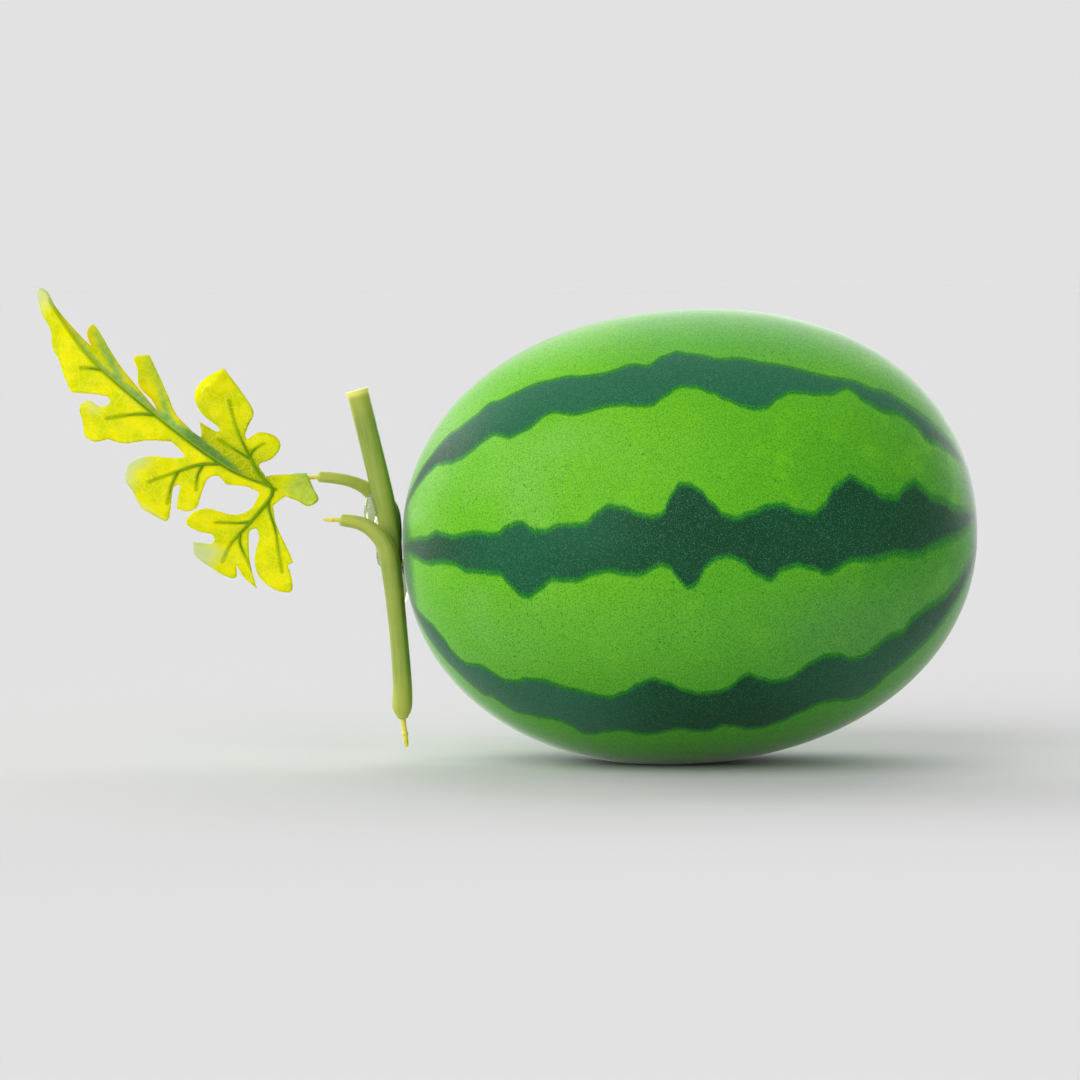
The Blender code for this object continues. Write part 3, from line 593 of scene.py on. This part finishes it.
def rib_plastic():
    """Olive web of the leaf. The ribs get paler towards their ends, and the attribute pale marks the lighter
    sleeve behind the leaf's base."""
    mat, g, shader = new_material("rib_plastic")
    here = g.position()
    tone = g.noise(here, 200, 3)
    colour = g.mix(g.ramp(tone, 0.35, 0.70), RIB_DEEP, RIB_OLIVE)
    # paler towards the ribs' ends
    colour = g.mix(g.math("MULTIPLY", g.attribute("pale_end"), 0.75), colour, RIB_PALE_END)
    colour = g.mix(g.attribute("pale"), colour, SLEEVE_GREEN)
    g.link(colour, shader.inputs["Base Color"])
    g.link(g.ramp(tone, 0.3, 0.7, 0.60, 0.75), shader.inputs["Roughness"])
    set_inputs(shader, {
        "Subsurface Weight": 0.15,
        "Subsurface Radius": (0.5, 0.9, 0.2),
        "Subsurface Scale": 0.001,
        "Specular IOR Level": 0.1,
    })
    g.link(g.bump(g.noise(here, 800, 3), 0.00010, 0.5), shader.inputs["Normal"])
    return mat


def clear_glue():
    mat, g, shader = new_material("clear_glue")
    here = g.position()
    haze = g.noise(here, 300, 3)
    g.link(g.mix(g.ramp(haze, 0.40, 0.70), GLUE_PALE, GLUE_DEEP), shader.inputs["Base Color"])
    g.link(g.ramp(haze, 0.3, 0.7, 0.12, 0.30), shader.inputs["Roughness"])
    set_inputs(shader, {"Transmission Weight": 0.80, "IOR": 1.47})
    g.link(g.bump(g.noise(here, 380, 3), 0.0003, 0.5), shader.inputs["Normal"])
    return mat


def printed_veins(g, flat):
    """Net of coarse and fine veins on a gently warped leaf, weaker in patches and on the folded strip."""
    swirl = g.node("ShaderNodeTexNoise")
    g.link(flat, swirl.inputs["Vector"])
    set_inputs(swirl, {"Scale": 0.13, "Detail": 0.0})
    warp = g.node("ShaderNodeVectorMath", operation="MULTIPLY_ADD")
    g.link(swirl.outputs["Color"], warp.inputs[0])
    warp.inputs[1].default_value = (7.0, 7.0, 7.0)
    g.link(flat, warp.inputs[2])
    bent = warp.outputs[0]
    coarse = g.ramp(g.voronoi(bent, 0.24, "DISTANCE_TO_EDGE")["Distance"], 0.006, 0.050, 0.65, 0)
    fine = g.ramp(g.voronoi(bent, 0.85, "DISTANCE_TO_EDGE")["Distance"], 0.02, 0.16, 0.34, 0)
    fine = g.math("MULTIPLY", fine, g.ramp(g.noise(flat, 0.15, 2), 0.35, 0.6, 0.25, 1.0))
    veins = g.math("MAXIMUM", coarse, fine)
    return g.math("MULTIPLY", veins, g.ramp(g.attribute("strip"), 0.0, 1.0, 1.0, 0.25))


def weave(g, flat):
    """Height of the cloth's threads, in both directions."""
    threads = []
    for direction in ("X", "Y"):
        wave = g.node("ShaderNodeTexWave", wave_type="BANDS", bands_direction=direction)
        g.link(flat, wave.inputs["Vector"])
        set_inputs(wave, {"Scale": 1.1, "Distortion": 0.6, "Detail": 1.0})
        threads.append(wave.outputs["Fac"])
    return g.math("ADD", *threads)


def leaf_cloth():
    """Thin printed cloth that lets light through. flat is the place on the laid-out leaf in millimetres,
    rib the distance to a moulded rib; strip, shade, fade and edge say how green the folded strip is with
    painted sheen, how dark the inner far lobe is with painted shade, how pale a tip is and how orange a
    fold's edge is with a painted glow of light through it."""
    mat, g, shader = new_material("leaf_cloth")
    flat = g.attribute("flat", "Vector")
    colour = g.mix(g.ramp(g.noise(flat, 0.10, 3), 0.38, 0.62), CLOTH_DEEP, CLOTH_YELLOW)
    # painted shade on the inner far lobe
    colour = g.mix(g.math("MULTIPLY", g.attribute("shade"), 0.75), colour, CLOTH_SHADE)
    # painted sheen on the folded strip, the far lobes' edges and the flap
    green = g.mix(g.ramp(g.noise(flat, 0.35, 3), 0.4, 0.6), STRIP_DEEP, STRIP_PALE)
    # painted shade on the folded strip
    green = g.mix(g.attribute("shade"), green, STRIP_SHADE)
    colour = g.mix(g.attribute("strip"), colour, green)
    veins = printed_veins(g, flat)
    colour = g.mix(veins, colour, VEIN_YELLOW)
    colour = g.mix(g.ramp(g.attribute("rib"), 0.2, 1.5, 0.65, 0), colour, RIB_SHADOW)
    # painted glow of light through the fold's edge
    colour = g.mix(g.math("MULTIPLY", g.attribute("edge"), 0.6), colour, FOLD_GLOW_ORANGE)
    colour = g.mix(g.math("MULTIPLY", g.attribute("fade"), 0.85), colour, TIP_PALE)
    g.link(colour, shader.inputs["Base Color"])
    set_inputs(shader, {"Roughness": 0.75, "Specular IOR Level": 0.0})
    normal = g.bump(veins, 0.00015, 0.5, g.bump(weave(g, flat), 0.00006, 0.5))
    g.link(normal, shader.inputs["Normal"])
    glow = g.node("ShaderNodeBsdfTranslucent")
    g.link(colour, glow.inputs["Color"])
    g.link(normal, glow.inputs["Normal"])
    blend = g.node("ShaderNodeMixShader")
    blend.inputs["Fac"].default_value = 0.35
    g.link(shader.outputs[0], blend.inputs[1])
    g.link(glow.outputs[0], blend.inputs[2])
    g.link(blend.outputs[0], mat.node_tree.nodes["Material Output"].inputs["Surface"])
    return mat


# ------------------------------------------------------------------ shapes
def new_piece(name, bm, mat, node, crease):
    """Object from a bmesh, in place of a CAD node and with a material slot's name."""
    bmesh.ops.recalc_face_normals(bm, faces=bm.faces)
    mesh = bpy.data.meshes.new(name)
    bm.to_mesh(mesh)
    bm.free()
    mesh.materials.append(mat)
    mesh.shade_smooth()
    mesh.set_sharp_from_angle(angle=math.radians(crease))
    piece = bpy.data.objects.new(name, mesh)
    bpy.context.scene.collection.objects.link(piece)
    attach(piece, "root")
    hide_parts(node)
    return piece


def paint(piece, name, values, kind="FLOAT"):
    """Stores one value or vector for each vertex, for the piece's material."""
    layer = piece.data.attributes.new(name, kind, "POINT")
    field = "value" if kind == "FLOAT" else "vector"
    layer.data.foreach_set(field, np.asarray(values, dtype=np.float32).ravel())


def smoothstep(t):
    return t * t * (3 - 2 * t)


def smooth_path(points, steps):
    """Catmull-Rom curve through the points, with the given number of steps in each span."""
    points = [Vector(p) for p in points]
    padded = [2 * points[0] - points[1], *points, 2 * points[-1] - points[-2]]
    path = []
    for a, b, c, d in zip(padded, padded[1:], padded[2:], padded[3:]):
        for k in range(steps):
            t = k / steps
            path.append(0.5 * (2 * b + (c - a) * t + (2 * a - 5 * b + 4 * c - d) * t ** 2
                               + (3 * b - a - 3 * c + d) * t ** 3))
    path.append(points[-1])
    return path


def interpolate(table, x, eased=False):
    """Value at x from a table of (x, value) rows, straight or eased between them."""
    x = min(max(x, table[0][0]), table[-1][0])
    for (x0, v0), (x1, v1) in zip(table, table[1:]):
        if x <= x1:
            t = (x - x0) / (x1 - x0)
            if eased:
                t = smoothstep(t)
            return v0 + (v1 - v0) * t


# ------------------------------------------------------------------ fruit
def back_stripe(middle, rng):
    """Wandering edges with uneven teeth for a stripe that the front doesn't show, like the front ones."""
    edges = []
    for sign in (1, -1):
        edge = [(place, middle + sign * half) for place, half in BACK_START]
        place = BACK_FROM
        while place < BACK_TO:
            tooth = rng.random() < TOOTH_CHANCE
            half = rng.uniform(*TOOTH_HALF) if tooth else rng.uniform(*PLAIN_HALF)
            edge.append((place, middle + sign * half))
            place += rng.uniform(*BACK_STEP)
        edges.append(edge + [(place, middle + sign * half) for place, half in BACK_END])
    return edges


def stripe_depth(along, degrees, radius, stripes):
    """Distance in from the nearest stripe's edge, millimetres; negative outside every stripe."""
    best = np.full(len(along), -np.inf)
    for above, below in stripes:
        high = np.interp(along, *zip(*above))
        low = np.interp(along, *zip(*below))
        middle = (high + low) / 2
        off = np.abs((degrees - middle + 180) % 360 - 180)
        best = np.maximum(best, ((high - low) / 2 - off) * math.pi / 180 * radius / MM)
    ends = (np.abs(along) - STRIPE_END) * END_DEPTH
    return np.maximum(best, ends)


def soften(edge):
    """Rounds an edge's corners: eased curve between its points, sampled finely."""
    places = np.linspace(-1, 1, EDGE_SAMPLES)
    return [(place, interpolate(edge, place, eased=True)) for place in places]


def flatten(z):
    """Presses what lies below the resting plane up into it, easing over FLAT_BLEND."""
    if z <= -FLAT_BLEND:
        return 0.0
    return (z + FLAT_BLEND) ** 2 / (4 * FLAT_BLEND)


def fruit_body():
    """The whole oval, lying along x round its own middle."""
    turn = np.pi * np.arange(FRUIT_RINGS + 1) / FRUIT_RINGS
    along = np.sign(np.cos(turn)) * np.abs(np.cos(turn)) ** (2 / FRUIT_LENGTH_POWER)
    girth = np.abs(np.sin(turn)) ** (2 / FRUIT_GIRTH_POWER) * (1 - FRUIT_BLOSSOM_TAPER * along)
    girth[0] = girth[-1] = 0
    ups = 2 * np.pi * np.arange(FRUIT_SIDES) / FRUIT_SIDES
    bm = bmesh.new()
    rows = []
    for x, r in zip(along * FRUIT_LENGTH / 2, girth * FRUIT_DIAMETER / 2):
        if r == 0:
            rows.append([bm.verts.new((x, 0, 0))])
        else:
            rows.append([bm.verts.new((x, -r * math.cos(t), r * math.sin(t))) for t in ups])
    for low, high in zip(rows, rows[1:]):
        for k in range(FRUIT_SIDES):
            after = k + 1
            ring = [low[k % len(low)], low[after % len(low)], high[after % len(high)], high[k % len(high)]]
            bm.faces.new(list(dict.fromkeys(ring)))
    return bm


def build_fruit(mat):
    bm = fruit_body()
    tilted = Matrix.Translation(FRUIT_CENTRE) @ Matrix.Rotation(-FRUIT_TILT, 4, "Y")
    level = tilted.inverted()
    for vert in bm.verts:
        spot = tilted @ vert.co
        if spot.z < FLAT_BLEND:
            spot.z = flatten(spot.z)
            vert.co = level @ spot
    co = np.array([tuple(v.co) for v in bm.verts])
    bmesh.ops.transform(bm, matrix=tilted, verts=bm.verts)
    fruit = new_piece("fruit_body", bm, mat, "fruit", FRUIT_CREASE)
    along = np.clip(co[:, 0] / (FRUIT_LENGTH / 2), -1, 1)
    degrees = np.degrees(np.arctan2(co[:, 2], -co[:, 1]))
    radius = np.hypot(co[:, 1], co[:, 2])
    rng = np.random.default_rng(SEED)
    stripes = [UPPER_STRIPE, MIDDLE_STRIPE, LOWER_STRIPE]
    stripes += [back_stripe(middle, rng) for middle in BACK_STRIPES]
    stripes = [(soften(above), soften(below)) for above, below in stripes]
    paint(fruit, "stripe", stripe_depth(along, degrees, radius, stripes))
    # painted shade, from none at this height to full at the floor
    height = co @ np.array(tilted.to_3x3())[2] + FRUIT_CENTRE.z
    paint(fruit, "under", np.clip(1 - height / UNDER_SHADE_HEIGHT, 0, 1))


# ------------------------------------------------------------------ vine
def dome_rings(centre, outward, radius, dome):
    """Rings (centre, radius) over a rounded end, from its rim outwards."""
    return [(centre + outward * dome * radius * math.sin(a), radius * math.cos(a)) for a in DOME_ANGLES]


def cut_rings(centre, outward, radius):
    """Rings (centre, radius) over a saw-cut end with a narrow worn rim."""
    rings = [(centre + outward * CUT_STEP * MM * k, radius - inset * MM) for k, inset in CUT_RIM]
    return rings + [(centre + outward * CUT_HEIGHT * MM, radius * k) for k in CUT_RINGS]


def ridged(radius, turn, run, ridges):
    """Radius at a turn round the tube and a run along it, with low mould lines."""
    wave = math.sin(3 * turn + 40 * run) + 0.6 * math.sin(7 * turn + 1.3) + 0.4 * math.sin(11 * turn)
    return radius * (1 + ridges * wave * min(1.0, radius / RIDGE_RADIUS) - 1.6 * ridges)


def sweep(stations, sides, steps, dome, ridges=0.0, cut_start=False):
    """Tube through (x, y, z, radius) stations in millimetres. Also gives the cosine and sine of the turn
    and the centimetres along, for each vertex."""
    path = smooth_path(stations, steps)
    centres = [Vector(p[:3]) * MM for p in path]
    radii = [p[3] * MM for p in path]
    last = len(centres) - 1
    tangents = [(centres[min(i + 1, last)] - centres[max(i - 1, 0)]).normalized() for i in range(last + 1)]
    if cut_start:
        start = cut_rings(centres[0], -tangents[0], radii[0])
    else:
        start = dome_rings(centres[0], -tangents[0], radii[0], dome)
    end = dome_rings(centres[-1], tangents[-1], radii[-1], dome)
    centres = [p for p, _ in reversed(start)] + centres + [p for p, _ in end]
    radii = [r for _, r in reversed(start)] + radii + [r for _, r in end]
    tangents = [tangents[0]] * len(start) + tangents + [tangents[-1]] * len(end)
    bm = bmesh.new()
    side = tangents[0].cross(Vector((0, 1, 0.1))).normalized()
    rows = []
    facts = []
    run = 0.0
    for i, (centre, radius, tangent) in enumerate(zip(centres, radii, tangents)):
        side = (side - tangent * side.dot(tangent)).normalized()
        other = tangent.cross(side)
        if i:
            run += (centre - centres[i - 1]).length
        row = []
        for k in range(sides):
            turn = 2 * math.pi * k / sides
            out = side * math.cos(turn) + other * math.sin(turn)
            row.append(bm.verts.new(centre + ridged(radius, turn, run, ridges) * out))
            facts.append((math.cos(turn), math.sin(turn), run / MM / 10))
        rows.append(row)
    for low, high in zip(rows, rows[1:]):
        for k in range(sides):
            bm.faces.new((low[k], low[(k + 1) % sides], high[(k + 1) % sides], high[k]))
    bm.faces.new(rows[0])
    bm.faces.new(rows[-1])
    return bm, facts


def build_stem(name, stations, node, mat, dome=0.55, cut_top=False, fresh_ends=(0.0, 0.0)):
    """Vine piece with mould lines; fresh_ends are the centimetres over which each end is paler."""
    bm, facts = sweep(stations, sides=48, steps=10, dome=dome, ridges=STEM_RIDGES, cut_start=cut_top)
    stem = new_piece(name, bm, mat, node, PLASTIC_CREASE)
    facts = np.array(facts)
    along = facts[:, 2]
    paint(stem, "turn_x", facts[:, 0])
    paint(stem, "turn_y", facts[:, 1])
    paint(stem, "along", along)
    fresh = np.zeros(len(facts))
    for reach, distance in zip(fresh_ends, (along, along.max() - along)):
        if reach:
            fresh = np.maximum(fresh, np.clip(1 - distance / reach, 0, 1) * FRESH_SHARE)
    paint(stem, "fresh", fresh)
    cut = np.clip((CUT_ZONE - along) / CUT_FADE, 0, 1) if cut_top else np.zeros(len(facts))
    paint(stem, "cut", cut)


def build_peg(name, end, size, mat, node):
    """Barbed peg as a turned pin; its root stays inside the vine piece."""
    radius, outside, aim = size
    end = Vector(end[:3])
    outward = Vector(aim).normalized()
    shape = [(-PEG_ROOT, 1.0)] + [(share * outside, grow) for share, grow in PEG_SHAPE]
    stations = [(*(end + outward * along), radius * grow) for along, grow in shape]
    bm, _ = sweep(stations, sides=28, steps=4, dome=0.1)
    new_piece(name, bm, mat, node, PLASTIC_CREASE)


def build_socket(mat):
    bm, _ = sweep(SOCKET, sides=32, steps=8, dome=0.25)
    sleeve = new_piece("leaf_socket_sleeve", bm, mat, "leaf_socket", PLASTIC_CREASE)
    paint(sleeve, "pale", np.ones(len(sleeve.data.vertices)))


def build_glue(mat):
    """Each bead is the CAD one, rounded off, so it still hugs the stems."""
    for node in ("glue_bead_upper", "glue_bead_lower", "glue_bead_fruit"):
        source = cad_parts[node]
        bm = bmesh.new()
        bm.from_mesh(source.data)
        bmesh.ops.remove_doubles(bm, verts=bm.verts, dist=0.02 * MM)
        bead = new_piece(node + "_clear", bm, mat, node, NO_CREASE)
        remesh = bead.modifiers.new("Even", "REMESH")
        remesh.mode = "VOXEL"
        remesh.voxel_size = GLUE_VOXEL
        soft = bead.modifiers.new("Soft", "SMOOTH")
        soft.factor = 0.5
        soft.iterations = 4
        graph = bpy.context.evaluated_depsgraph_get()
        final = bpy.data.meshes.new_from_object(bead.evaluated_get(graph))
        bead.modifiers.clear()
        bead.data = final
        final.shade_smooth()


# ------------------------------------------------------------------ leaf
BOW = [tuple(p) for p in smooth_path(MIDRIB_BOW, steps=4)]


def leaf_depth(s, c):
    """How far behind the leaf's base a flat point lies, millimetres."""
    slope = NEAR_SLOPE if c < 0 else interpolate(FAR_SLOPES, s, eased=True)
    width = math.hypot(c, FOLD_SOFTNESS) - FOLD_SOFTNESS
    arch = -MIDRIB_ARCH * math.sin(math.pi * min(max(s / ARCH_LENGTH, 0.0), 1.0))
    return arch + slope * width + LOBE_CURL * c * c


def leaf_point(s, c):
    """Place of the blade's middle surface for flat coordinates s and c, metres."""
    across = c + interpolate(BOW, s)
    x = -s * math.cos(LEAF_RISE) + across * math.sin(LEAF_RISE)
    z = s * math.sin(LEAF_RISE) + across * math.cos(LEAF_RISE)
    return LEAF_BASE + Vector((x, leaf_depth(s, c), z)) * MM


def leaf_normal(s, c):
    """Unit normal of the blade there, towards the front."""
    step = 0.5
    along = leaf_point(s + step, c) - leaf_point(s - step, c)
    across = leaf_point(s, c + step) - leaf_point(s, c - step)
    normal = along.cross(across).normalized()
    return normal if normal.y < 0 else -normal


def distance_to_routes(points, routes):
    """Distance from each flat point to the nearest of the polylines, millimetres."""
    best = np.full(len(points), np.inf)
    for route in routes:
        for a, b in zip(route, route[1:]):
            a, b = np.array(a[:2]), np.array(b[:2])
            t = np.clip(((points - a) @ (b - a)) / max(((b - a) ** 2).sum(), 1e-9), 0, 1)
            best = np.minimum(best, np.linalg.norm(points - a - t[:, None] * (b - a), axis=1))
    return best


def leaf_marks(s, c, rim):
    """Where the printed leaf changes tone, for flat coordinates and the distance to its outline."""
    def rise(x, low, high):
        return np.clip((x - low) / (high - low), 0, 1)

    # painted sheen: green along the folded strip, the far lobes' outer edges and the flap at the base
    width = np.interp(s, *zip(*STRIP_WIDTH))
    strip = rise(c, 0.0, 0.4) * rise(c, width + 0.9, width) * rise(s, 12, 18)
    for streak in SHEEN_STREAKS:
        along, across, strength = zip(*streak)
        near = rise(np.abs(c - np.interp(s, along, across)), 2.0, 0.7)
        near = near * rise(s, along[0] - 3, along[0]) * rise(s, along[-1] + 3, along[-1])
        strip = np.maximum(strip, near * np.interp(s, along, strength))
    strip = np.maximum(strip, 0.55 * rise(s, -1, -5) * rise(c, 0.5, 3))
    # painted shade: darker on the inner far lobe and along its outline
    shade = rise(c, 16, 3) * rise(c, 0.0, 0.5) * rise(s, 50, 42) * rise(s, 0, 6)
    shade = np.maximum(shade, 0.35 * rise(rim, 1.0, 0.0) * rise(c, 0, 2) * rise(s, 46, 42))
    # painted glow: orange on the edge of the outer fold, where light comes through the cloth
    edge = rise(rim, 1.0, 0.2) * rise(s, 44, 50) * rise(c, 0.5, 1.5) * rise(c, 8, 5)
    # pale at the tip, on two near lobes and in one spot between them
    fade = rise(s, 124, 133)
    fade = np.maximum(fade, rise(s, 46, 54) * rise(c, -14, -20) * rise(s, 64, 58) * rise(rim, 7, 1))
    fade = np.maximum(fade, rise(s, -2, 5) * rise(c, -34, -39))
    fade = np.maximum(fade, 0.5 * rise(np.hypot(s - 84, c + 14), 5, 1))
    return {"strip": strip, "shade": shade, "edge": edge, "fade": fade}


def cloth_mesh(loop):
    """Triangles that fill the flat outline, with grid points inside it: (points, faces)."""
    edge = np.array([tuple(p) for p in loop])
    low, high = edge.min(0), edge.max(0)
    first = math.floor(low[1] / CLOTH_GRID) * CLOTH_GRID
    rows = np.arange(low[0], high[0], CLOTH_GRID)
    grid = np.array([(s, c) for s in rows for c in np.arange(first, high[1], CLOTH_GRID)])
    near = np.min(np.linalg.norm(grid[:, None, :] - edge[None, :, :], axis=2), axis=1)
    points = loop + [Vector(p) for p in grid[near > EDGE_CLEARANCE * CLOTH_GRID]]
    count = len(loop)
    ring = [(i, (i + 1) % count) for i in range(count)]
    # output type 1 keeps only the triangles inside the outline
    flat, _, faces, _, _, _ = delaunay_2d_cdt(points, ring, [list(range(count))], 1, 0.0005)
    used = sorted({i for face in faces for i in face})
    index = {old: new for new, old in enumerate(used)}
    return [flat[i] for i in used], [[index[i] for i in face] for face in faces]


def build_leaf(mat):
    loop = []
    for stroke in LEAF_EDGE:
        loop += smooth_path(stroke, steps=8)[:-1]
    flat, faces = cloth_mesh(loop)
    bm = bmesh.new()
    verts = [bm.verts.new(leaf_point(p.x, p.y)) for p in flat]
    for face in faces:
        bm.faces.new([verts[i] for i in face])
    blade = new_piece("leaf_cloth_blade", bm, mat, "leaf_blade", NO_CREASE)
    co = np.array([tuple(p) for p in flat])
    paint(blade, "flat", np.c_[co, np.zeros(len(co))], "FLOAT_VECTOR")
    paint(blade, "rib", distance_to_routes(co, [smooth_path(route, steps=6) for route, _, _ in RIBS]))
    rim = distance_to_routes(co, [[*loop, loop[0]]])
    for name, values in leaf_marks(co[:, 0], co[:, 1], rim).items():
        paint(blade, name, values)
    thick = blade.modifiers.new("Thickness", "SOLIDIFY")
    thick.thickness = CLOTH_THICKNESS
    thick.offset = 0.0


def build_ribs(mat):
    """The moulded web: each rib is a half-round that sits on the cloth and thins out at its end."""
    bm = bmesh.new()
    pale_end = []
    for number, (route, start, end) in enumerate(RIBS):
        path = smooth_path(route, steps=10)
        last = len(path) - 1
        slimness = RIB_SLIMNESS if number else MIDRIB_SLIMNESS
        rows = []
        for i, p in enumerate(path):
            share = i / last
            radius = slimness * (start + (end - start) * share ** 2) * MM
            pale_end += [smoothstep(max(0.0, (share - PALE_END_FROM) / PALE_END_OVER))] * RIB_POINTS
            tip = max(0.25, 1 - share ** 4)
            here = leaf_point(p.x, p.y)
            normal = leaf_normal(p.x, p.y)
            ahead = path[min(i + 1, last)] - path[max(i - 1, 0)]
            along = (leaf_point(p.x + ahead.x * 0.1, p.y + ahead.y * 0.1) - here).normalized()
            side = along.cross(normal).normalized()
            centre = here + normal * (CLOTH_THICKNESS / 2 - RIB_SINK)
            row = []
            for k in range(RIB_POINTS):
                turn = math.pi * k / (RIB_POINTS - 1)
                rise = normal * (RIB_SEAT + RIB_HEIGHT * math.sin(turn)) * tip
                offset = side * math.cos(turn) * RIB_WIDTH + rise
                row.append(bm.verts.new(centre + radius * tip * offset))
            rows.append(row)
        for low, high in zip(rows, rows[1:]):
            for k in range(RIB_POINTS):
                after = (k + 1) % RIB_POINTS
                bm.faces.new((low[k], low[after], high[after], high[k]))
        bm.faces.new(rows[0])
        bm.faces.new(rows[-1])
    web = new_piece("leaf_rib_web", bm, mat, "leaf_ribs", RIB_CREASE)
    paint(web, "pale_end", pale_end)


def finish_hidden_pin(mat):
    """The pin inside the fruit keeps its CAD shape and takes the pegs' plastic."""
    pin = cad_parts["fruit_pin"]
    pin.data.materials.clear()
    pin.data.materials.append(mat)


def main():
    add_camera()
    add_lights()
    add_floor()
    stem = stem_plastic()
    peg = peg_plastic()
    rib = rib_plastic()
    build_fruit(fruit_skin())
    build_stem("main_stem_rod", MAIN_STEM, "main_stem", stem, dome=0.3, cut_top=True, fresh_ends=(1.6, 0))
    build_stem("lower_stem_fork", LOWER_STEM, "lower_stem", stem, fresh_ends=(3.2, 2.6))
    build_stem("upper_arm_rod", UPPER_ARM, "upper_arm", stem, fresh_ends=(4.5, 0))
    build_peg("lower_stem_pin", LOWER_STEM[-1], THICK_PEG, peg, "lower_stem_peg")
    build_peg("lower_arm_pin", LOWER_STEM[0], THIN_PEG, peg, "lower_arm_peg")
    build_peg("upper_arm_pin", UPPER_ARM[0], LEAF_PEG, peg, "upper_arm_peg")
    build_socket(rib)
    build_glue(clear_glue())
    build_ribs(rib)
    build_leaf(leaf_cloth())
    finish_hidden_pin(peg)


main()
